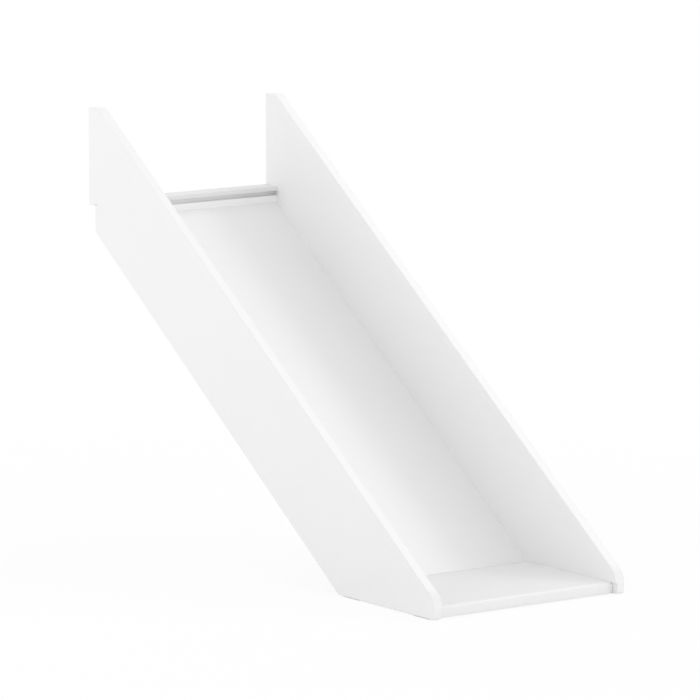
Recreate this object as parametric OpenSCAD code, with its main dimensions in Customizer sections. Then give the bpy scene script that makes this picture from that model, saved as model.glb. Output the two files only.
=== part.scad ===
/* [Overall] */
// Distance from the bed rail's face to the noses of the cheeks
reach = 984; // [910:1:1050]
// Height of the cheeks' flat tops above the floor
top_h = 742; // [720:1:765]
// Height of the bed rail's top edge above the floor
rail_h = 572; // [564:1:580]
// Slope of the sliding surface, in degrees
slope = 36; // [35:0.5:37]
// Clear width between the cheeks
inner_w = 356; // [300:1:450]
// How far the cheeks hook over the bed rail
hook_depth = 21; // [16:1:30]

/* [Boards] */
// Thickness of the cheeks
cheek_t = 18; // [16:1:22]
// Width of the cheeks, square to the slope
cheek_w = 182; // [174:1:190]
// Radius of the cheeks' noses
nose_r = 36; // [24:1:42]
// Radius of the small corners of the cheeks' outline
corner_r = 4; // [4:0.5:6]
// Radius of the eased long edges of the boards
ease_r = 2; // [1:0.5:3]
// Thickness of the sliding panel
panel_t = 12; // [10:1:14]
// Thickness of the top rail
top_rail_t = 14; // [13:1:16]
// Thickness of the battens and of the run-out panel
batten_t = 18; // [18:1:20]
// Width of each batten along the slope
batten_w = 45; // [40:1:50]
// Thickness of the ledge that lies on the bed rail
ledge_t = 8; // [6:1:10]
// How far the ledge overhangs the top rail at the front
ledge_lip = 1; // [0:0.5:4]
// Height of the shadow gap between the top rail's front and the ledge
gap_h = 8; // [5:1:10]
// Depth of the shadow gap
gap_d = 10; // [6:1:10]
// How far the run-out panel's front stands back from the noses
front_setback = 12; // [8:1:16]

/* [Joints] */
// Depth of the grooves that house the sliding panel and the ledge
groove_d = 6; // [4:1:8]
// Depth of the rebates that house the ends of the top rail
rebate_d = 12; // [12:0.5:13]
// Depth of the rebates along the feet that house the ends of the run-out panel
run_rebate_d = 3; // [2:0.5:3]
// Distance between the two holes for screws into the bed rail
fix_spacing = 240; // [160:5:240]
// Diameter of the blind holes for screws from the bed rail
fix_hole = 5; // [4:0.5:6]
// Depth of those holes
fix_depth = 10; // [8:1:11]
// Diameter of the cam housings
cam_d = 15; // [12:1:15]
// Distance from a board's end to the centre of its cam
cam_inset = 24; // [20:1:34]
// Diameter of the wooden dowels
dowel_d = 8; // [6:1:8]
// Thickness of the rubber floor pads
pad_t = 1.5; // [1:0.5:3]

/* [Hidden] */
$fn = 48;
white = [0.94, 0.94, 0.93];
satin_white = [0.90, 0.90, 0.895];
beech = [0.80, 0.63, 0.43];
steel = [0.72, 0.73, 0.74];
zinc = [0.62, 0.63, 0.65];
rubber = [0.78, 0.78, 0.76];
eps = 0.01;
seat_gap = 0.2;                 // play at the end of each housed board

// The model is worked out with y = 0 on the bed rail's face and z = 0 on the floor.
rail_y = (reach - hook_depth) / 2;
rise = tan(slope);
flat_front = -10;               // where the flat top starts
edge_top = top_h - rise * flat_front;          // height of the sloping top edge at y = 0
edge_low = edge_top - cheek_w / cos(slope);    // height of the sloping lower edge at y = 0
surf_n = batten_t + panel_t;                   // sliding surface, square to the lower edge
surf_0 = edge_low + surf_n / cos(slope);
under_0 = edge_low + batten_t / cos(slope);
run_top = pad_t + batten_t;
gap_z = rail_h - gap_h;
ledge_front = -top_rail_t - ledge_lip;
function edge_y(z0, z) = (z - z0) / rise;      // where a sloping line reaches height z

// Places of the battens, measured down the lower edge from the rail's face
batten_s = [60, 440, 815];
cam_shift = 10;
dowel_shift = -11;
run_cams = [-reach + 44, -reach + 222];
run_dowels = [-reach + 88, -reach + 178];
bolt_grip = 11;
dowel_in_cheek = 11;
dowel_in_batten = 24;
bolt_head_d = 7;
screw_d = 3.5;
screw_head_d = 7.4;
screw_head_h = 2.4;
screw_x = 95;
fix_z = rail_h - 27;
rail_screw_x = inner_w / 2 + rebate_d - screw_head_d / 2 - 0.3;
rail_screw_z = [edge_low + 14, gap_z - 7];
ledge_dowel_y = [-7, 9];
ledge_dowel_d = 5;
ledge_dowel_in = 16;            // how far each goes into the ledge
ledge_dowel_out = 8;            // how far it goes into the cheek
pad_y = [-reach + 38, edge_y(edge_low, 0) - 30];
pad_x = (inner_w + cheek_t + run_rebate_d - 1) / 2;
pad_len = 36;
pad_w = 11;
screw_sink = 0.2;               // how far the screws' heads sink below the face
relief_r = 2.5;                 // drilled relief in the notch's inner corner

module at_rail() { translate([0, rail_y, 0]) children(); }

// A frame on the cheeks' lower edge: -y runs down the slope and z is square to it.
module on_slope(s) {
    translate([0, 0, edge_low]) rotate([slope, 0, 0]) translate([0, -s, 0]) children();
}

// A side-view outline, drawn in y and z, made w wide across the slide.
module across(w) { rotate([90, 0, 90]) linear_extrude(w, center = true) children(); }

function unit(v) = v / norm(v);
function angle_at(a, b, c) = acos(unit(a - b) * unit(c - b));
function ease_len(a, b, c, r) = r / tan(angle_at(a, b, c) / 2);
function ease_mid(a, b, c, r) =
    b + unit(unit(a - b) + unit(c - b)) * norm([r, ease_len(a, b, c, r)]);

// What rounding takes off the corner b between its neighbours a and c
module corner_waste(a, b, c, r) {
    t = ease_len(a, b, c, r);
    m = ease_mid(a, b, c, r);
    difference() {
        polygon([b + unit(b - m) * eps, b + unit(a - b) * t, m, b + unit(c - b) * t]);
        translate(m) circle(r, $fn = 96);
    }
}

cheek_pts = [
    [hook_depth, rail_h],                       // under the hook
    [0, rail_h],                                // inner corner over the bed rail
    [0, edge_low],                              // rear bottom corner
    [edge_y(edge_low, pad_t), pad_t],           // heel
    [-reach, pad_t],                            // toe
    [-reach, edge_top - rise * reach],          // nose
    [flat_front, top_h],                        // start of the flat top
    [hook_depth, top_h]];                       // rear top corner
cheek_r = [corner_r, 0, 0, corner_r, corner_r, nose_r, corner_r, corner_r];
cheek_eased = [2 : 7];                          // all edges but those that seat on the bed rail

// What a rounding-over bit takes off a board's edge, with the edge at the origin
module edge_waste() {
    difference() {
        translate([-ease_r, -ease_r]) square(ease_r + 1);
        translate([-ease_r, -ease_r]) circle(ease_r * 1.02);
    }
}

// A board cut to the outline pts, run clockwise, with its corners rounded to the radii r. It lies
// flat and is t thick. The straight edges that start at the corners in eased are rounded over on
// both faces, and the cut fades out on the rounded corners.
module board(pts, r, t, eased) {
    n = len(pts);
    before = [for (i = [0 : n - 1]) pts[(i + n - 1) % n]];
    after = [for (i = [0 : n - 1]) pts[(i + 1) % n]];
    difference() {
        linear_extrude(t, center = true) difference() {
            polygon(pts);
            for (i = [0 : n - 1])
                if (r[i] > 0) corner_waste(before[i], pts[i], after[i], r[i]);
        }
        for (i = eased)
            for (face = [0, 1]) mirror([0, 0, face]) {
                way = unit(after[i] - pts[i]);
                translate(pts[i] - way) rotate([0, 0, atan2(way[1], way[0])]) rotate([90, 0, 90])
                    linear_extrude(norm(after[i] - pts[i]) + 2) translate([0, t / 2]) edge_waste();
            }
    }
}

module holes_for_battens() {
    for (s = batten_s) {
        on_slope(s + cam_shift) translate([0, 0, batten_t / 2]) rotate([0, 90, 0])
            cylinder(d = 5, h = inner_w + 2 * bolt_grip, center = true);
        on_slope(s + dowel_shift) translate([0, 0, batten_t / 2]) rotate([0, 90, 0])
            cylinder(d = dowel_d, h = inner_w + 2 * (dowel_in_cheek + 0.5), center = true);
    }
    for (y = run_cams)
        translate([0, y, pad_t + batten_t / 2]) rotate([0, 90, 0])
            cylinder(d = 5, h = inner_w + 2 * (run_rebate_d + bolt_grip), center = true);
    for (y = run_dowels)
        translate([0, y, pad_t + batten_t / 2]) rotate([0, 90, 0])
            cylinder(d = dowel_d, h = inner_w + 2 * (run_rebate_d + dowel_in_cheek + 0.5), center = true);
}

// Side view of the sliding panel, cut upright at the top rail and level at the height z
module panel_profile(z) {
    polygon([[-top_rail_t, surf_0 - rise * top_rail_t], [-top_rail_t, under_0 - rise * top_rail_t],
        [edge_y(under_0, z), z], [edge_y(surf_0, z), z]]);
}

// Side view of the rebate along the cheeks' feet, which runs out at the noses
module run_rebate_profile() {
    heel = edge_y(edge_low, pad_t) + 1;
    polygon([[-reach - 1, pad_t - 1], [-reach - 1, run_top],
        [edge_y(edge_low, run_top) + 1, run_top], [heel, pad_t], [heel, pad_t - 1]]);
}

// Side view of the top rail up to the height z, with a tongue behind the shadow gap
module top_rail_block(z) {
    translate([-top_rail_t, edge_low]) square([top_rail_t, gap_z - edge_low]);
    translate([-top_rail_t + gap_d, edge_low]) square([top_rail_t - gap_d, z - edge_low]);
}

module top_rail_profile() {
    difference() {
        top_rail_block(rail_h - seat_gap);
        corner_waste([-top_rail_t, edge_low], [-top_rail_t, gap_z], [0, gap_z], ease_r);
    }
}

module ledge_profile() {
    translate([ledge_front, rail_h]) square([hook_depth - ledge_front, ledge_t]);
}

// Runs its children where each dowel crosses the right end of the ledge
module at_ledge_ends() {
    for (y = ledge_dowel_y)
        translate([inner_w / 2 + groove_d, y, rail_h + ledge_t / 2]) children();
}

module cheek() {
    difference() {
        translate([(inner_w + cheek_t) / 2, 0, 0]) rotate([90, 0, 90])
            board(cheek_pts, cheek_r, cheek_t, cheek_eased);
        across(inner_w + 2 * groove_d) panel_profile(run_top - 0.5);
        across(inner_w + 2 * run_rebate_d) run_rebate_profile();
        across(inner_w + 2 * groove_d) ledge_profile();
        across(inner_w + 2 * rebate_d) top_rail_block(rail_h + 1);
        translate([0, -relief_r / 5, rail_h + relief_r / 5]) rotate([0, 90, 0])
            cylinder(r = relief_r, h = inner_w + 2 * cheek_t + 2, center = true);
        holes_for_battens();
        for (z = rail_screw_z)
            translate([rail_screw_x, -top_rail_t - 16, z]) rotate([-90, 0, 0]) cylinder(d = screw_d - 0.5, h = 17);
        at_ledge_ends() rotate([0, 90, 0]) cylinder(d = ledge_dowel_d, h = ledge_dowel_out + 0.5);
    }
}

module left_cheek() { at_rail() color(white) mirror([1, 0, 0]) cheek(); }
module right_cheek() { at_rail() color(white) cheek(); }

module sliding_panel() {
    at_rail() color(satin_white) difference() {
        across(inner_w + 2 * (groove_d - seat_gap)) panel_profile(run_top);
        for (s = batten_s)
            for (x = [-screw_x, screw_x])
                on_slope(s) translate([x, 0, batten_t - 1]) cylinder(d = screw_d, h = 10);
    }
}

// Bores for one end of a board: the cam, its bolt and a dowel, with the board's end at x = 0
module cam_bore() {
    translate([-cam_inset, 0, -batten_t / 2 - 1]) cylinder(d = cam_d, h = 13.5);
    translate([-cam_inset, 0, 0]) rotate([0, 90, 0]) cylinder(d = 8, h = cam_inset + 1);
}

module dowel_bore() {
    translate([-dowel_in_batten - 0.5, 0, 0]) rotate([0, 90, 0]) cylinder(d = dowel_d, h = dowel_in_batten + 2);
}

module both_sides() {
    children();
    mirror([1, 0, 0]) children();
}

// Runs its children at both ends of a board that goes the depth d into each cheek
module both_ends(d) { both_sides() translate([inner_w / 2 + d, 0, 0]) children(); }

// Runs its children where each cam's bolt, or each dowel, leaves the run-out panel's ends
module at_run_ends(places) {
    for (y = places) translate([0, y, pad_t + batten_t / 2]) both_ends(run_rebate_d) children();
}

module at_batten_ends(shift) {
    for (s = batten_s) on_slope(s + shift) translate([0, 0, batten_t / 2]) both_ends(0) children();
}

module at_cams() {
    at_batten_ends(cam_shift) children();
    at_run_ends(run_cams) children();
}

module at_dowels() {
    at_batten_ends(dowel_shift) children();
    at_run_ends(run_dowels) children();
}

module batten(s) {
    at_rail() color(white) difference() {
        on_slope(s) translate([-inner_w / 2, -batten_w / 2, 0]) cube([inner_w, batten_w, batten_t]);
        on_slope(s + cam_shift) translate([0, 0, batten_t / 2]) both_ends(0) cam_bore();
        on_slope(s + dowel_shift) translate([0, 0, batten_t / 2]) both_ends(0) dowel_bore();
        for (x = [-screw_x, screw_x])
            on_slope(s) translate([x, 0, 0]) {
                translate([0, 0, -1]) cylinder(d = screw_d + 1, h = batten_t + 2);
                translate([0, 0, -eps]) cylinder(d1 = screw_head_d + 0.4, d2 = screw_d + 1, h = screw_head_h);
            }
    }
}

module upper_batten() { batten(batten_s[0]); }
module middle_batten() { batten(batten_s[1]); }
module lower_batten() { batten(batten_s[2]); }

module run_out_panel() {
    front = -reach + front_setback;
    pts = [[front, pad_t], [front, run_top],
        [edge_y(edge_low, run_top), run_top], [edge_y(edge_low, pad_t), pad_t]];
    at_rail() color(satin_white) difference() {
        across(inner_w + 2 * (run_rebate_d - seat_gap)) difference() {
            polygon(pts);
            corner_waste(pts[0], pts[1], pts[2], 2 * ease_r);
        }
        at_run_ends(run_cams) cam_bore();
        at_run_ends(run_dowels) dowel_bore();
    }
}

module top_rail() {
    at_rail() color(white) difference() {
        across(inner_w + 2 * (rebate_d - seat_gap)) top_rail_profile();
        for (x = [-fix_spacing / 2, fix_spacing / 2])
            translate([x, 1, fix_z]) rotate([90, 0, 0]) cylinder(d = fix_hole, h = fix_depth + 1);
        for (x = [-rail_screw_x, rail_screw_x])
            for (z = rail_screw_z)
                translate([x, 0, z]) rotate([90, 0, 0]) {
                    translate([0, 0, -1]) cylinder(d = screw_d + 0.5, h = top_rail_t + 2);
                    translate([0, 0, -eps]) cylinder(d1 = screw_head_d + 0.4, d2 = screw_d + 0.5, h = screw_head_h);
                }
    }
}

module top_ledge() {
    ledge_top = rail_h + ledge_t;
    at_rail() color(white) difference() {
        across(inner_w + 2 * (groove_d - seat_gap)) difference() {
            ledge_profile();
            corner_waste([ledge_front, rail_h], [ledge_front, ledge_top], [hook_depth, ledge_top], ease_r);
        }
        both_sides() at_ledge_ends() translate([-ledge_dowel_in - 0.5, 0, 0]) rotate([0, 90, 0])
            cylinder(d = ledge_dowel_d, h = ledge_dowel_in + 1);
    }
}

// A cam housing: a slotted drum with a cross recess in its outer face
module cam_lock() {
    difference() {
        translate([-cam_inset, 0, -batten_t / 2 + 0.4]) cylinder(d = cam_d, h = 12);
        translate([-cam_inset - 4.5, 0, 0]) rotate([0, 90, 0]) cylinder(d = bolt_head_d + 1, h = cam_d);
        for (a = [45, 135])
            translate([-cam_inset, 0, -batten_t / 2]) rotate([0, 0, a]) cube([7, 1.4, 4], center = true);
    }
}

module cam_locks() { at_rail() color(zinc) at_cams() cam_lock(); }

// A cam bolt: threaded end in the cheek, collar at the joint, neck and head in the cam
module cam_bolt() {
    rotate([0, 90, 0]) {
        cylinder(d = 4.8, h = bolt_grip - 0.5);
        translate([0, 0, -3]) cylinder(d = 7.5, h = 3);
        translate([0, 0, -cam_inset + 2]) cylinder(d = 5, h = cam_inset - 4);
        translate([0, 0, -cam_inset - 2]) cylinder(d = bolt_head_d, h = 4);
    }
}

module cam_bolts() { at_rail() color(steel) at_cams() cam_bolt(); }

module dowels() {
    at_rail() color(beech) at_dowels() translate([-dowel_in_batten, 0, 0]) rotate([0, 90, 0])
        cylinder(d = dowel_d, h = dowel_in_batten + dowel_in_cheek);
}

module ledge_dowels() {
    at_rail() color(beech) both_sides() at_ledge_ends() translate([-ledge_dowel_in, 0, 0]) rotate([0, 90, 0])
        cylinder(d = ledge_dowel_d, h = ledge_dowel_in + ledge_dowel_out);
}

// A countersunk screw with its head at z = 0 and its point up
module screw(len) {
    difference() {
        union() {
            cylinder(d1 = screw_head_d, d2 = screw_d, h = screw_head_h);
            cylinder(d = screw_d, h = len - 3);
            translate([0, 0, len - 3 - eps]) cylinder(d1 = screw_d, d2 = 0.6, h = 3);
        }
        for (a = [0, 90]) rotate([0, 0, a]) cube([4, 0.9, 2.6], center = true);
    }
}

module panel_screws() {
    at_rail() color(steel) for (s = batten_s)
        for (x = [-screw_x, screw_x])
            on_slope(s) translate([x, 0, screw_sink]) screw(batten_t + 8);
}

module top_rail_screws() {
    at_rail() color(steel) for (x = [-rail_screw_x, rail_screw_x])
        for (z = rail_screw_z)
            translate([x, -screw_sink, z]) rotate([90, 0, 0]) screw(top_rail_t + 15);
}

// Rubber pads with round ends under the foot of each cheek
module floor_pads() {
    at_rail() color(rubber) for (x = [-1, 1])
        for (y = pad_y)
            translate([x * pad_x, y, 0]) {
                translate([-pad_w / 2, -pad_len / 2, 0]) cube([pad_w, pad_len, pad_t]);
                for (e = [-1, 1]) translate([0, e * pad_len / 2, 0]) cylinder(d = pad_w, h = pad_t);
            }
}

left_cheek();
right_cheek();
sliding_panel();
run_out_panel();
top_rail();
top_ledge();
upper_batten();
middle_batten();
lower_batten();
cam_locks();
cam_bolts();
dowels();
panel_screws();
top_rail_screws();
ledge_dowels();
floor_pads();
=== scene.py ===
import math

import bpy
from mathutils import Matrix, Vector


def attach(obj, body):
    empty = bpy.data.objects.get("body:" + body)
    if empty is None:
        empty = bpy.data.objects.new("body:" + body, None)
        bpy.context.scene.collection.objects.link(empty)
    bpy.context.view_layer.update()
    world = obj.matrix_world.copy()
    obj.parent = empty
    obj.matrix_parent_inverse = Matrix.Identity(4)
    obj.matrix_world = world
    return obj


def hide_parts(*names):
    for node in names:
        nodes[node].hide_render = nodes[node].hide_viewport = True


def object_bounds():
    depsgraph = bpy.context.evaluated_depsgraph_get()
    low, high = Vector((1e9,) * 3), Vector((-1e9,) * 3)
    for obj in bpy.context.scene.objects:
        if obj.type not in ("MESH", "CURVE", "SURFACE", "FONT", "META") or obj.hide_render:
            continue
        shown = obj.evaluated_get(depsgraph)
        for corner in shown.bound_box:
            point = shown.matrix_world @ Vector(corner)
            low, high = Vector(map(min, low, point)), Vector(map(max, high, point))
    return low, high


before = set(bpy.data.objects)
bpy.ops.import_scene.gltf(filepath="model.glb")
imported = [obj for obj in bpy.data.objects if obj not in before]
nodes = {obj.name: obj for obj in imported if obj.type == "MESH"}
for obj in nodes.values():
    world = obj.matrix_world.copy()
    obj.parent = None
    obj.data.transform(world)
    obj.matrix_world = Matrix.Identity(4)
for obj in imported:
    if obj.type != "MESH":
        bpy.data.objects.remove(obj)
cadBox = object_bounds()
print("frame loaded:", len(nodes), "CAD nodes")

cameraLook = {
    "place": (-5.738, -7.957, 1.885),  # where someone stands in front of the bed
    "aim": (0.0, 0.0, 0.362),
    "lens": 302,
    "farClip": 100,
}


def makeCamera(look):
    bpy.ops.object.camera_add(location=look["place"])
    camera = bpy.context.object
    camera.name = "roomCamera"
    camera.data.lens = look["lens"]
    camera.data.clip_end = look["farClip"]
    toward = Vector(look["aim"]) - Vector(look["place"])
    camera.rotation_euler = toward.to_track_quat("-Z", "Y").to_euler()
    bpy.context.scene.camera = camera


makeCamera(cameraLook)
bpy.context.scene.view_settings.view_transform = "Standard"
print("camera made")

studio = {
    "floorSize": 60,
    "floorDrop": 0.0002,  # metres under the slide, so that the pads' undersides show from below
    "floorColor": (0.93, 0.93, 0.93),
    "floorRoughness": 0.9,
    "floorSpecular": 0.1,
    "floorSeen": 0.88,  # how far the floor's own white goes over its shading
    "floorClear": (0.7, 2.4),  # metres from the slide over which the shading fades out
    "worldLight": 0.85,
    "worldSeen": 1.0,
    "lampAim": (0, 0, 0.3),
}

# soft boxes round the slide: place, power in watts and diameter
lamps = {
    "leftLamp": ((-2.4, 0.7, 1.8), 11, 1.6),
    "rightLamp": ((3.8, 0.5, 4.4), 40, 2.6),
    "frontLamp": ((2.5, -5.0, 1.2), 29, 2.6),
}


def wire(tree, a, aSocket, b, bSocket):
    tree.links.new(a.outputs[aSocket], b.inputs[bSocket])


# 1 for the rays that show the background: camera, glossy and transmission rays
def seenRays(tree):
    path = tree.nodes.new("ShaderNodeLightPath")
    either = tree.nodes.new("ShaderNodeMath")
    either.operation = "MAXIMUM"
    wire(tree, path, "Is Camera Ray", either, 0)
    wire(tree, path, "Is Glossy Ray", either, 1)
    anySeen = tree.nodes.new("ShaderNodeMath")
    anySeen.operation = "MAXIMUM"
    wire(tree, either, 0, anySeen, 0)
    wire(tree, path, "Is Transmission Ray", anySeen, 1)
    return anySeen


def makeWorld():
    world = bpy.data.worlds.new("studioWorld")
    bpy.context.scene.world = world
    world.use_nodes = True
    tree = world.node_tree
    back = tree.nodes["Background"]
    back.inputs["Color"].default_value = (1, 1, 1, 1)
    seen = seenRays(tree)
    level = tree.nodes.new("ShaderNodeMapRange")
    level.inputs["To Min"].default_value = studio["worldLight"]
    level.inputs["To Max"].default_value = studio["worldSeen"]
    wire(tree, seen, 0, level, "Value")
    wire(tree, level, "Result", back, "Strength")


def makeFloor():
    floorHeight = cadBox[0].z - studio["floorDrop"]
    bpy.ops.mesh.primitive_plane_add(size=studio["floorSize"], location=(0, 0, floorHeight))
    floor = bpy.context.object
    floor.name = "studioFloor"
    mat = bpy.data.materials.new("paleFloor")
    mat.use_nodes = True
    tree = mat.node_tree
    paint = tree.nodes["Principled BSDF"]
    paint.inputs["Base Color"].default_value = (*studio["floorColor"], 1)
    paint.inputs["Roughness"].default_value = studio["floorRoughness"]
    paint.inputs["Specular IOR Level"].default_value = studio["floorSpecular"]
    white = tree.nodes.new("ShaderNodeEmission")
    place = tree.nodes.new("ShaderNodeTexCoord")
    away = tree.nodes.new("ShaderNodeVectorMath")
    away.operation = "LENGTH"
    fade = tree.nodes.new("ShaderNodeMapRange")
    fade.interpolation_type = "SMOOTHSTEP"
    fade.inputs["From Min"].default_value = studio["floorClear"][0]
    fade.inputs["From Max"].default_value = studio["floorClear"][1]
    fade.inputs["To Min"].default_value = studio["floorSeen"]
    share = tree.nodes.new("ShaderNodeMath")
    share.operation = "MULTIPLY"
    over = tree.nodes.new("ShaderNodeMixShader")
    wire(tree, place, "Object", away, 0)
    wire(tree, away, "Value", fade, "Value")
    wire(tree, fade, "Result", share, 0)
    wire(tree, seenRays(tree), 0, share, 1)
    wire(tree, share, 0, over, "Fac")
    wire(tree, paint, "BSDF", over, 1)
    wire(tree, white, "Emission", over, 2)
    below = tree.nodes.new("ShaderNodeNewGeometry")  # seen from below, the floor is clear
    clear = tree.nodes.new("ShaderNodeBsdfTransparent")
    oneSided = tree.nodes.new("ShaderNodeMixShader")
    wire(tree, below, "Backfacing", oneSided, "Fac")
    wire(tree, over, "Shader", oneSided, 1)
    wire(tree, clear, "BSDF", oneSided, 2)
    wire(tree, oneSided, "Shader", tree.nodes["Material Output"], "Surface")
    floor.data.materials.append(mat)


def makeLamp(name, place, power, size):
    bpy.ops.object.light_add(type="AREA", location=place)
    lamp = bpy.context.object
    lamp.name = name
    lamp.data.shape = "DISK"
    lamp.data.size = size
    lamp.data.energy = power
    lamp.visible_camera = False
    toward = Vector(studio["lampAim"]) - Vector(place)
    lamp.rotation_euler = toward.to_track_quat("-Z", "Y").to_euler()


makeWorld()
makeFloor()
for name, (place, power, size) in lamps.items():
    makeLamp(name, place, power, size)
print("studio made")


def newMaterial(name):
    mat = bpy.data.materials.new(name)
    mat.use_nodes = True
    return mat, mat.node_tree, mat.node_tree.nodes["Principled BSDF"]


def plainGroup(name, inputs, outputs):
    group = bpy.data.node_groups.new(name, "ShaderNodeTree")
    for label, kind, value in inputs:
        socket = group.interface.new_socket(label, in_out="INPUT", socket_type=kind)
        socket.default_value = value
    for label, kind in outputs:
        group.interface.new_socket(label, in_out="OUTPUT", socket_type=kind)
    return group, group.nodes.new("NodeGroupInput"), group.nodes.new("NodeGroupOutput")


spray = {
    "cloudScale": 5.5,
    "cloudDetail": 4,
    "cloudRange": (0.3, 0.7),
    "peelDetail": 2,
    "smear": 0.10,  # how much duller the clouds' light parts are
}


# sprayed lacquer: faint clouds of tone and the orange peel that the spray leaves
def lacquerGroup(look):
    group, given, out = plainGroup(
        "sprayedLacquer",
        [("Color", "NodeSocketColor", (0.9, 0.9, 0.9, 1)),
         ("Cloud", "NodeSocketFloat", 0.01),
         ("Peel Scale", "NodeSocketFloat", 420),
         ("Roughness", "NodeSocketFloat", 0.35)],
        [("Color", "NodeSocketColor"),
         ("Roughness", "NodeSocketFloat"),
         ("Height", "NodeSocketFloat")])
    place = group.nodes.new("ShaderNodeTexCoord")
    cloud = group.nodes.new("ShaderNodeTexNoise")
    cloud.inputs["Scale"].default_value = look["cloudScale"]
    cloud.inputs["Detail"].default_value = look["cloudDetail"]
    wire(group, place, "Object", cloud, "Vector")
    tone = group.nodes.new("ShaderNodeMapRange")
    tone.inputs["From Min"].default_value = look["cloudRange"][0]
    tone.inputs["From Max"].default_value = look["cloudRange"][1]
    wire(group, cloud, "Fac", tone, "Value")
    darkest = group.nodes.new("ShaderNodeMath")
    darkest.operation = "SUBTRACT"
    darkest.inputs[0].default_value = 1.0
    wire(group, given, "Cloud", darkest, 1)
    wire(group, darkest, 0, tone, "To Min")
    tinted = group.nodes.new("ShaderNodeVectorMath")
    tinted.operation = "SCALE"
    wire(group, given, "Color", tinted, 0)
    wire(group, tone, "Result", tinted, "Scale")
    wire(group, tinted, 0, out, "Color")
    peel = group.nodes.new("ShaderNodeTexNoise")
    peel.inputs["Detail"].default_value = look["peelDetail"]
    wire(group, place, "Object", peel, "Vector")
    wire(group, given, "Peel Scale", peel, "Scale")
    wire(group, peel, "Fac", out, "Height")
    smear = group.nodes.new("ShaderNodeMath")
    smear.operation = "MULTIPLY_ADD"
    wire(group, cloud, "Fac", smear, 0)
    smear.inputs[1].default_value = look["smear"]
    wire(group, given, "Roughness", smear, 2)
    wire(group, smear, 0, out, "Roughness")
    return group


lacquer = lacquerGroup(spray)


def lacquerMaterial(name, look):
    mat, tree, paint = newMaterial(name)
    coat = tree.nodes.new("ShaderNodeGroup")
    coat.node_tree = lacquer
    coat.inputs["Color"].default_value = (*look["color"], 1)
    coat.inputs["Cloud"].default_value = look["cloud"]
    coat.inputs["Peel Scale"].default_value = look["peelScale"]
    coat.inputs["Roughness"].default_value = look["roughness"]
    soft = tree.nodes.new("ShaderNodeBevel")
    soft.samples = look["edgeSamples"]
    soft.inputs["Radius"].default_value = look["edgeRadius"]
    bump = tree.nodes.new("ShaderNodeBump")
    bump.inputs["Strength"].default_value = look["peelStrength"]
    bump.inputs["Distance"].default_value = look["peelDepth"]
    wire(tree, coat, "Color", paint, "Base Color")
    wire(tree, coat, "Roughness", paint, "Roughness")
    wire(tree, coat, "Height", bump, "Height")
    wire(tree, soft, "Normal", bump, "Normal")
    wire(tree, bump, "Normal", paint, "Normal")
    paint.inputs["Specular IOR Level"].default_value = look["specular"]
    return mat


cheekLook = {
    "color": (0.90, 0.90, 0.90),
    "cloud": 0.012,
    "peelScale": 420,
    "peelStrength": 0.12,
    "peelDepth": 0.0002,
    "roughness": 0.36,
    "edgeRadius": 0.0008,
    "edgeSamples": 4,
    "specular": 0.4,
}
slideLook = dict(cheekLook, color=(0.89, 0.89, 0.89), roughness=0.26, peelStrength=0.07)
# painted light: the top rail's white is lighter than the cheeks' so that its front face and the
# shaded rebate under the ledge come out brighter
railLookPaintedLight = dict(cheekLook, color=(0.94, 0.94, 0.94))
# painted shade: the ledge's white is darker than the other boards' and stands in for the shade
# that falls on it from the bed
ledgeLookPaintedShade = dict(cheekLook, color=(0.83, 0.83, 0.83), roughness=0.44)
battenLook = dict(cheekLook, color=(0.86, 0.86, 0.855), roughness=0.55,
                  peelStrength=0.3, peelScale=300)

whiteLacquer = lacquerMaterial("whiteLacquer", cheekLook)
slideLacquer = lacquerMaterial("slideLacquer", slideLook)
railLacquerPaintedLight = lacquerMaterial("railLacquerPaintedLight", railLookPaintedLight)
ledgeLacquerPaintedShade = lacquerMaterial("ledgeLacquerPaintedShade", ledgeLookPaintedShade)
battenLacquer = lacquerMaterial("battenLacquer", battenLook)


# small metal parts: the grain of the casting or plating, and a duller film in blotches
def metalGroup():
    group, given, out = plainGroup(
        "metalFinish",
        [("Color", "NodeSocketColor", (0.6, 0.6, 0.6, 1)),
         ("Dull Color", "NodeSocketColor", (0.5, 0.5, 0.5, 1)),
         ("Low Roughness", "NodeSocketFloat", 0.3),
         ("High Roughness", "NodeSocketFloat", 0.5),
         ("Grain Scale", "NodeSocketFloat", 900),
         ("Film Scale", "NodeSocketFloat", 260),
         ("Film Detail", "NodeSocketFloat", 3)],
        [("Color", "NodeSocketColor"),
         ("Roughness", "NodeSocketFloat"),
         ("Height", "NodeSocketFloat")])
    place = group.nodes.new("ShaderNodeTexCoord")
    grain = group.nodes.new("ShaderNodeTexNoise")
    wire(group, place, "Object", grain, "Vector")
    wire(group, given, "Grain Scale", grain, "Scale")
    wire(group, grain, "Fac", out, "Height")
    spread = group.nodes.new("ShaderNodeMapRange")
    wire(group, grain, "Fac", spread, "Value")
    wire(group, given, "Low Roughness", spread, "To Min")
    wire(group, given, "High Roughness", spread, "To Max")
    wire(group, spread, "Result", out, "Roughness")
    film = group.nodes.new("ShaderNodeTexNoise")
    wire(group, place, "Object", film, "Vector")
    wire(group, given, "Film Scale", film, "Scale")
    wire(group, given, "Film Detail", film, "Detail")
    tint = group.nodes.new("ShaderNodeMix")
    tint.data_type = "RGBA"
    wire(group, film, "Fac", tint, "Factor")
    wire(group, given, "Color", tint, "A")
    wire(group, given, "Dull Color", tint, "B")
    wire(group, tint, "Result", out, "Color")
    return group


metalFinish = metalGroup()


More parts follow.
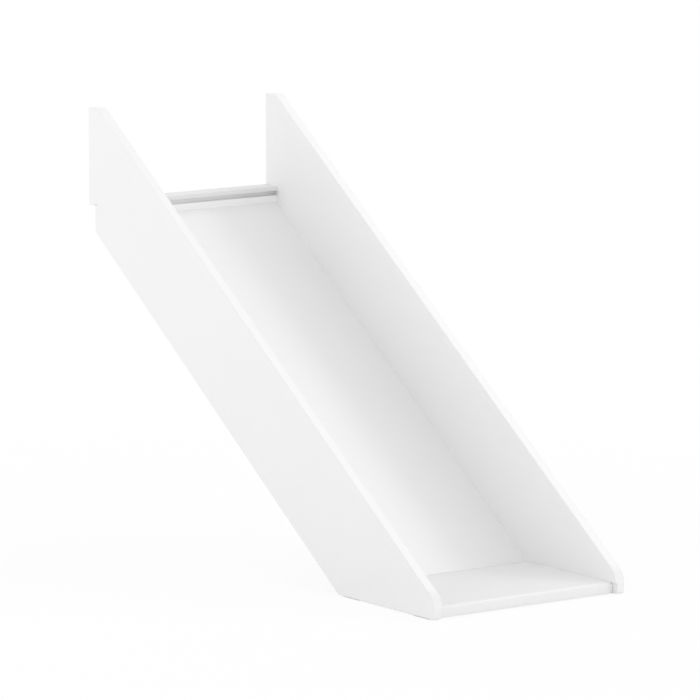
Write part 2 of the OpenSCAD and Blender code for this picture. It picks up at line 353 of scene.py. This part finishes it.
def metalMaterial(name, look):
    mat, tree, metal = newMaterial(name)
    finish = tree.nodes.new("ShaderNodeGroup")
    finish.node_tree = metalFinish
    finish.inputs["Color"].default_value = (*look["color"], 1)
    finish.inputs["Dull Color"].default_value = (*look["dullColor"], 1)
    finish.inputs["Low Roughness"].default_value = look["roughness"][0]
    finish.inputs["High Roughness"].default_value = look["roughness"][1]
    finish.inputs["Grain Scale"].default_value = look["grainScale"]
    finish.inputs["Film Scale"].default_value = look["filmScale"]
    finish.inputs["Film Detail"].default_value = look["filmDetail"]
    bump = tree.nodes.new("ShaderNodeBump")
    bump.inputs["Strength"].default_value = look["grainStrength"]
    bump.inputs["Distance"].default_value = look["grainDepth"]
    wire(tree, finish, "Color", metal, "Base Color")
    wire(tree, finish, "Roughness", metal, "Roughness")
    wire(tree, finish, "Height", bump, "Height")
    wire(tree, bump, "Normal", metal, "Normal")
    metal.inputs["Metallic"].default_value = 1
    return mat


zincLook = {
    "color": (0.60, 0.61, 0.63),
    "dullColor": (0.52, 0.53, 0.55),
    "roughness": (0.34, 0.54),
    "grainScale": 900,
    "grainStrength": 0.35,
    "grainDepth": 0.0001,
    "filmScale": 260,
    "filmDetail": 3,
}
steelLook = dict(zincLook, color=(0.74, 0.75, 0.77), dullColor=(0.66, 0.67, 0.70),
                 roughness=(0.20, 0.40), grainScale=1400, grainStrength=0.1)

zinc = metalMaterial("dieCastZinc", zincLook)
steel = metalMaterial("platedSteel", steelLook)

beechLook = {
    "grainScale": (60, 900, 900),  # long fibres along x, as every dowel lies
    "darkColor": (0.55, 0.36, 0.20, 1),
    "lightColor": (0.78, 0.60, 0.40, 1),
    "roughness": 0.6,
}


def beechMaterial(look):
    mat, tree, wood = newMaterial("bareBeech")
    place = tree.nodes.new("ShaderNodeTexCoord")
    stretch = tree.nodes.new("ShaderNodeMapping")
    stretch.inputs["Scale"].default_value = look["grainScale"]
    fleck = tree.nodes.new("ShaderNodeTexNoise")
    fleck.inputs["Scale"].default_value = 1
    ramp = tree.nodes.new("ShaderNodeValToRGB")
    ramp.color_ramp.elements[0].color = look["darkColor"]
    ramp.color_ramp.elements[1].color = look["lightColor"]
    wire(tree, place, "Object", stretch, "Vector")
    wire(tree, stretch, "Vector", fleck, "Vector")
    wire(tree, fleck, "Fac", ramp, "Fac")
    wire(tree, ramp, "Color", wood, "Base Color")
    wood.inputs["Roughness"].default_value = look["roughness"]
    return mat


rubberLook = {
    "color": (0.78, 0.78, 0.76),
    "roughness": 0.8,
    "grainScale": 1500,
    "grainStrength": 0.3,
    "grainDepth": 0.0002,
}


def rubberMaterial(look):
    mat, tree, skin = newMaterial("padRubber")
    place = tree.nodes.new("ShaderNodeTexCoord")
    grain = tree.nodes.new("ShaderNodeTexNoise")
    grain.inputs["Scale"].default_value = look["grainScale"]
    bump = tree.nodes.new("ShaderNodeBump")
    bump.inputs["Strength"].default_value = look["grainStrength"]
    bump.inputs["Distance"].default_value = look["grainDepth"]
    wire(tree, place, "Object", grain, "Vector")
    wire(tree, grain, "Fac", bump, "Height")
    wire(tree, bump, "Normal", skin, "Normal")
    skin.inputs["Base Color"].default_value = (*look["color"], 1)
    skin.inputs["Roughness"].default_value = look["roughness"]
    return mat


beech = beechMaterial(beechLook)
rubber = rubberMaterial(rubberLook)

finishes = {
    "left_cheek": whiteLacquer,
    "right_cheek": whiteLacquer,
    "sliding_panel": slideLacquer,
    "run_out_panel": slideLacquer,
    "top_rail": railLacquerPaintedLight,
    "top_ledge": ledgeLacquerPaintedShade,
    "upper_batten": battenLacquer,
    "middle_batten": battenLacquer,
    "lower_batten": battenLacquer,
    "cam_locks": zinc,
    "cam_bolts": steel,
    "dowels": beech,
    "panel_screws": steel,
    "top_rail_screws": steel,
    "ledge_dowels": beech,
    "floor_pads": rubber,
}
for name, mat in finishes.items():
    nodes[name].data.materials.clear()
    nodes[name].data.materials.append(mat)
print("materials given to", len(finishes), "nodes")

slide = {  # metres, as in the part's own source
    "slope": math.radians(36),
    "railFace": 0.4815,  # where the bed rail's face is
    "topHeight": 0.742,
    "flatFront": 0.010,  # where the cheeks' flat tops end, in front of the rail's face
    "cheekWidth": 0.182,
    "cheekThick": 0.018,
    "innerWidth": 0.356,
    "reach": 0.984,
    "boardThick": 0.018,
    "padThick": 0.0015,
    "runRebate": 0.003,
    "ledgeGroove": 0.006,
    "ledgeMiddle": 0.576,  # height of the ledge's own middle
    "battens": (0.060, 0.440, 0.815),  # down the lower edge from the rail
    "screwSink": 0.0002,
}
mm = 0.001
tiny = 1e-6
nearlyFlat = 0.99
lowEdge = (slide["topHeight"] + slide["flatFront"] * math.tan(slide["slope"])
           - slide["cheekWidth"] / math.cos(slide["slope"]))
halfWidth = slide["innerWidth"] / 2


def selectOnly(piece):
    if bpy.context.object and bpy.context.object.mode != "OBJECT":
        bpy.ops.object.mode_set(mode="OBJECT")
    bpy.ops.object.select_all(action="DESELECT")
    piece.select_set(True)
    bpy.context.view_layer.objects.active = piece


# a round piece turned up from its first disc: each step is a height and a radius, in millimetres
def turnUp(name, steps, sides):
    bpy.ops.object.select_all(action="DESELECT")
    firstHeight, radius = steps[0]
    bpy.ops.mesh.primitive_circle_add(
        vertices=sides, radius=radius * mm, fill_type="NGON", location=(0, 0, firstHeight * mm))
    piece = bpy.context.object
    piece.name = name
    bpy.ops.object.transform_apply(location=True)
    bpy.ops.object.mode_set(mode="EDIT")
    bpy.ops.mesh.select_mode(type="FACE")
    bpy.ops.mesh.select_all(action="SELECT")
    height = firstHeight
    for nextHeight, nextRadius in steps[1:]:
        bpy.ops.mesh.extrude_region_move(
            TRANSFORM_OT_translate={"value": (0, 0, (nextHeight - height) * mm)})
        grow = nextRadius / radius
        bpy.ops.transform.resize(value=(grow, grow, 1), center_override=(0, 0, nextHeight * mm))
        height, radius = nextHeight, nextRadius
    bpy.ops.mesh.select_all(action="SELECT")
    bpy.ops.mesh.normals_make_consistent(inside=False)
    bpy.ops.object.mode_set(mode="OBJECT")
    return piece


def selectFaces(piece, wanted):
    selectOnly(piece)
    bpy.ops.object.mode_set(mode="EDIT")
    bpy.ops.mesh.select_mode(type="FACE")
    bpy.ops.mesh.select_all(action="DESELECT")
    bpy.ops.object.mode_set(mode="OBJECT")
    for face in piece.data.polygons:
        face.select = wanted(face)
    bpy.ops.object.mode_set(mode="EDIT")


def selectPoints(piece, wanted):
    selectOnly(piece)
    bpy.ops.object.mode_set(mode="EDIT")
    bpy.ops.mesh.select_mode(type="VERT")
    bpy.ops.mesh.select_all(action="DESELECT")
    bpy.ops.object.mode_set(mode="OBJECT")
    for point in piece.data.vertices:
        point.select = wanted(point.co)
    bpy.ops.object.mode_set(mode="EDIT")


def facesDown(face):
    return face.normal.z < -nearlyFlat


# a cross for a driver: two bars that narrow towards the bottom of the recess
def crossCutter(place, look):
    span, thick, depth = (look["cross"][side] * mm for side in ("span", "thick", "depth"))
    narrow = look["cross"]["narrow"]
    bars = []
    for turn in (0, math.pi / 2):
        bpy.ops.object.select_all(action="DESELECT")
        bpy.ops.mesh.primitive_cube_add(size=1, location=place, rotation=(0, 0, turn))
        bar = bpy.context.object
        bar.scale = (span, thick, 2 * depth)
        bpy.ops.object.transform_apply(location=False, rotation=True, scale=True)
        bpy.ops.object.transform_apply(location=True)
        deep = max(point.co.z for point in bar.data.vertices)
        selectPoints(bar, lambda co: co.z > deep - tiny)
        bpy.ops.transform.resize(value=(narrow, narrow, 1),
                                 center_override=(place[0], place[1], deep))
        bpy.ops.object.mode_set(mode="OBJECT")
        bars.append(bar)
    return bars


def cutAway(piece, cutters):
    for cutter in cutters:
        selectOnly(piece)
        cut = piece.modifiers.new("cut", "BOOLEAN")
        cut.operation = "DIFFERENCE"
        cut.solver = "EXACT"
        cut.object = cutter
        bpy.ops.object.modifier_apply(modifier=cut.name)
        bpy.data.objects.remove(cutter)


def smoothEdges(piece, degrees):
    selectOnly(piece)
    bpy.ops.object.shade_smooth_by_angle(angle=math.radians(degrees))


# copies a finished piece to every place, and the copies stand for the CAD node
def setOut(pattern, places, node, mat):
    pattern.data.materials.clear()
    pattern.data.materials.append(mat)
    for count, place in enumerate(places, 1):
        piece = pattern.copy()
        piece.data = pattern.data.copy()
        piece.name = "%s%02d" % (pattern.name, count)
        bpy.context.scene.collection.objects.link(piece)
        piece.matrix_world = place
        selectOnly(piece)
        bpy.ops.object.transform_apply(location=True, rotation=True, scale=True)
        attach(piece, "root")
        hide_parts(node)
    bpy.data.objects.remove(pattern)
    print(node, "made as", len(places), "pieces")


# on the cheeks' sloping lower edges, measured down them from the rail
def onSlope(along, out, across=0.0):
    return (Matrix.Translation((0, slide["railFace"], lowEdge))
            @ Matrix.Rotation(slide["slope"], 4, "X")
            @ Matrix.Translation((across, -along, out)))


def onFloor(y, z):
    return Matrix.Translation((0, slide["railFace"] + y, z))


# both ends of a board: x points out of the board's end, which is at x = 0
def bothEnds(middle, depth):
    out = Matrix.Translation((halfWidth + depth, 0, 0))
    return [middle @ out, middle @ Matrix.Rotation(math.pi, 4, "Z") @ out]


# one place in each end of every batten and of the run-out panel
def endPlaces(look):
    places = []
    for along in slide["battens"]:
        middle = onSlope(along + look["battenShift"], slide["boardThick"] / 2)
        places += bothEnds(middle, 0)
    for y in look["runPlaces"]:
        middle = onFloor(y, slide["padThick"] + slide["boardThick"] / 2)
        places += bothEnds(middle, slide["runRebate"])
    return places


upright = Matrix.Rotation(math.pi / 2, 4, "Y")  # turns a piece's own z along x

camLock = {  # millimetres, with the drum's outer face at its lower end
    "outline": [(-8.6, 6.9), (-8.3, 7.45), (-7.5, 7.45), (-7.3, 7.15), (2.9, 7.15), (3.4, 6.7)],
    "sides": 64,
    "rim": 0.9,
    "rimDepth": 0.35,
    "cross": {"span": 6.6, "thick": 1.5, "depth": 3.2, "narrow": 0.72},
    "boltWay": {"radius": 4, "length": 12, "middle": 6, "sides": 32},
    "pointer": {"radius": 0.9, "depth": 1.2, "middle": 4.9},
    "smoothAngle": 30,
    "inset": 24,  # from the board's end to the drum's middle
    "battenShift": 0.010,  # metres along the slope from the batten's middle
    "runPlaces": (-0.940, -0.762),
}


def makeCamLock(look):
    drum = turnUp("camLock", look["outline"], look["sides"])
    selectFaces(drum, facesDown)
    bpy.ops.mesh.inset(thickness=look["rim"] * mm, depth=-look["rimDepth"] * mm)
    bpy.ops.object.mode_set(mode="OBJECT")
    outerFace = (look["outline"][0][0] + look["rimDepth"]) * mm
    cutters = crossCutter((0, 0, outerFace), look)
    way = look["boltWay"]  # for the bolt's head
    bpy.ops.object.select_all(action="DESELECT")
    bpy.ops.mesh.primitive_cylinder_add(
        vertices=way["sides"], radius=way["radius"] * mm, depth=way["length"] * mm,
        location=(way["middle"] * mm, 0, 0), rotation=(0, math.pi / 2, 0))
    bpy.ops.object.transform_apply(location=True, rotation=True)
    cutters.append(bpy.context.object)
    pointer = look["pointer"]  # a mark on the rim that points to the bolt
    bpy.ops.object.select_all(action="DESELECT")
    bpy.ops.mesh.primitive_cylinder_add(
        vertices=3, radius=pointer["radius"] * mm, depth=pointer["depth"] * mm,
        location=(pointer["middle"] * mm, 0, outerFace), rotation=(0, 0, -math.pi / 2))
    bpy.ops.object.transform_apply(location=True, rotation=True)
    cutters.append(bpy.context.object)
    cutAway(drum, cutters)
    smoothEdges(drum, look["smoothAngle"])
    return drum


camPlaces = endPlaces(camLock)
inset = Matrix.Translation((-camLock["inset"] * mm, 0, 0))
setOut(makeCamLock(camLock), [place @ inset for place in camPlaces],
       "cam_locks", zinc)

camBolt = {  # heights out of the board's end and radii, millimetres
    "head": [(-26, 2.4), (-25.6, 3.1), (-25.0, 3.5), (-23.2, 3.5), (-22.4, 3.0), (-22.0, 2.45)],
    "collar": [(-3.2, 2.45), (-3.0, 3.5), (-2.75, 3.75), (-0.3, 3.75), (-0.05, 3.5), (0.05, 1.9)],
    "threadStart": 0.1,
    "core": 1.85,
    "top": 2.4,
    "pitch": 1.9,
    "turns": 5,
    "tip": [(10.0, 1.7), (10.5, 1.0)],
    "sides": 32,
    "smoothAngle": 35,
}
threadForm = {"foot": 0.30, "crest": 0.58, "crestEnd": 0.68, "end": 0.96}  # shares of the pitch


# rings of thread: core, flank, crest and flank again
def threadSteps(start, look, turns):
    steps = []
    for turn in range(turns):
        base = start + turn * look["pitch"]
        steps += [(base + threadForm["foot"] * look["pitch"], look["core"]),
                  (base + threadForm["crest"] * look["pitch"], look["top"]),
                  (base + threadForm["crestEnd"] * look["pitch"], look["top"]),
                  (base + threadForm["end"] * look["pitch"], look["core"])]
    return steps


def makeCamBolt(look):
    thread = threadSteps(look["threadStart"], look, look["turns"])
    bolt = turnUp("camBolt", look["head"] + look["collar"] + thread + look["tip"], look["sides"])
    smoothEdges(bolt, look["smoothAngle"])
    return bolt


setOut(makeCamBolt(camBolt), [place @ upright for place in camPlaces],
       "cam_bolts", steel)

dowel = {  # low and high ends out of the board's end, millimetres
    "low": -24,
    "high": 11,
    "radius": 4,
    "chamfer": 1.0,
    "chamferEnd": 0.82,  # share of the radius
    "sides": 48,
    "fluteEvery": 4,
    "flute": 0.955,  # how far the flutes cut in
    "smoothAngle": 12,
    "battenShift": -0.011,
    "runPlaces": (-0.896, -0.806),
}
ledgeDowel = dict(dowel, low=-16, high=8, radius=2.5, yPlaces=(-0.007, 0.009))


# a dowel whose flutes stop short of its chamfered ends
def makeDowel(name, look):
    low, high, radius, end = look["low"], look["high"], look["radius"], look["chamfer"]
    peg = turnUp(name, [(low, radius * look["chamferEnd"]), (low + end, radius),
                        (low + 2 * end, radius), (high - 2 * end, radius),
                        (high - end, radius), (high, radius * look["chamferEnd"])], look["sides"])
    step = 2 * math.pi / look["sides"]

    def inFlute(co):
        side = round((math.atan2(co.y, co.x) % (2 * math.pi)) / step)
        between = (low + 1.5 * end) * mm < co.z < (high - 1.5 * end) * mm
        return between and side % look["fluteEvery"] == 0

    selectPoints(peg, inFlute)
    bpy.ops.transform.resize(value=(look["flute"], look["flute"], 1), center_override=(0, 0, 0))
    bpy.ops.object.mode_set(mode="OBJECT")
    smoothEdges(peg, look["smoothAngle"])
    return peg


setOut(makeDowel("dowel", dowel), [place @ upright for place in endPlaces(dowel)],
       "dowels", beech)

ledgeDowelPlaces = []
for y in ledgeDowel["yPlaces"]:
    ledgeDowelPlaces += bothEnds(onFloor(y, slide["ledgeMiddle"]), slide["ledgeGroove"])
setOut(makeDowel("ledgeDowel", ledgeDowel), [place @ upright for place in ledgeDowelPlaces],
       "ledge_dowels", beech)

panelScrew = {  # millimetres in from the head's face
    "head": [(0.0, 3.45), (0.12, 3.6), (0.3, 3.55), (2.4, 1.72)],
    "neck": 2.7,
    "shank": 1.6,
    "plain": 10,  # where the thread starts
    "length": 26,
    "point": 1.5,
    "pointRoom": 0.6,
    "taper": 4.5,
    "pointRadius": 0.12,
    "core": 1.15,
    "top": 1.72,
    "pitch": 1.6,
    "sides": 32,
    "cross": {"span": 4.2, "thick": 1.0, "depth": 1.9, "narrow": 0.55},
    "smoothAngle": 35,
    "across": (-0.095, 0.095),  # metres
}
railScrew = dict(panelScrew, plain=13, length=29, across=(-0.186, 0.186),
                 heights=(lowEdge + 0.014, 0.557))


def makeScrew(name, look):
    length, plain = look["length"], look["plain"]
    turns = int((length - look["point"] - plain) / look["pitch"])
    steps = look["head"] + [(look["neck"], look["shank"]), (plain, look["shank"])]
    for height, radius in threadSteps(plain, look, turns):
        less = (length + look["pointRoom"] - height) / look["taper"]
        steps.append((height, radius * min(1, less)))
    steps.append((length, look["pointRadius"]))
    piece = turnUp(name, [step for step in steps if step[0] <= length], look["sides"])
    cutAway(piece, crossCutter((0, 0, 0), look))
    smoothEdges(piece, look["smoothAngle"])
    return piece


panelScrewPlaces = [onSlope(along, slide["screwSink"], across)
                    for along in slide["battens"] for across in panelScrew["across"]]
setOut(makeScrew("panelScrew", panelScrew), panelScrewPlaces,
       "panel_screws", steel)

forward = Matrix.Rotation(math.pi / 2, 4, "X")  # points a screw away from the bed
railBack = slide["railFace"] - slide["screwSink"]
railScrewPlaces = [Matrix.Translation((across, railBack, z)) @ forward
                   for across in railScrew["across"] for z in railScrew["heights"]]
setOut(makeScrew("railScrew", railScrew), railScrewPlaces,
       "top_rail_screws", steel)

floorPad = {  # millimetres
    "round": 5.5,
    "straight": 36,
    "sides": 48,
    "rim": 1.6,
    "dishDepth": 0.25,
    "edge": 0.35,
    "edgeSteps": 3,
    "edgeAngle": 60,
    "smoothAngle": 40,
    "noseSetback": 0.038,  # metres from the cheek's nose and heel to the pad's middle
    "heelSetback": 0.030,
    "edgeRoom": 0.001,  # keeps the pad off the cheek's rounded outer edge
}


def makePad(look):
    bpy.ops.object.select_all(action="DESELECT")
    bpy.ops.mesh.primitive_circle_add(vertices=look["sides"], radius=look["round"] * mm,
                                      fill_type="NGON", location=(0, 0, 0))
    pad = bpy.context.object
    pad.name = "floorPad"
    for side in (1, -1):
        selectPoints(pad, lambda co: co.y * side > tiny)
        bpy.ops.transform.translate(value=(0, side * look["straight"] / 2 * mm, 0))
        bpy.ops.object.mode_set(mode="OBJECT")
    selectFaces(pad, lambda face: True)
    bpy.ops.mesh.extrude_region_move(TRANSFORM_OT_translate={"value": (0, 0, slide["padThick"])})
    bpy.ops.mesh.select_all(action="SELECT")
    bpy.ops.mesh.normals_make_consistent(inside=False)
    bpy.ops.object.mode_set(mode="OBJECT")
    # a shallow dish in the underside, so that the pad grips with its rim
    selectFaces(pad, facesDown)
    bpy.ops.mesh.inset(thickness=look["rim"] * mm, depth=0)
    bpy.ops.mesh.inset(thickness=look["dishDepth"] * mm, depth=-look["dishDepth"] * mm)
    bpy.ops.object.mode_set(mode="OBJECT")
    selectOnly(pad)
    bevel = pad.modifiers.new("edge", "BEVEL")
    bevel.width = look["edge"] * mm
    bevel.segments = look["edgeSteps"]
    bevel.limit_method = "ANGLE"
    bevel.angle_limit = math.radians(look["edgeAngle"])
    bpy.ops.object.modifier_apply(modifier=bevel.name)
    smoothEdges(pad, look["smoothAngle"])
    return pad


heel = -lowEdge / math.tan(slide["slope"])
padAcross = (slide["innerWidth"] + slide["cheekThick"] + slide["runRebate"]
             - floorPad["edgeRoom"]) / 2
padPlaces = [Matrix.Translation((side * padAcross, slide["railFace"] + y, 0))
             for side in (-1, 1)
             for y in (-slide["reach"] + floorPad["noseSetback"], heel - floorPad["heelSetback"])]
setOut(makePad(floorPad), padPlaces, "floor_pads", rubber)


print("scene done")
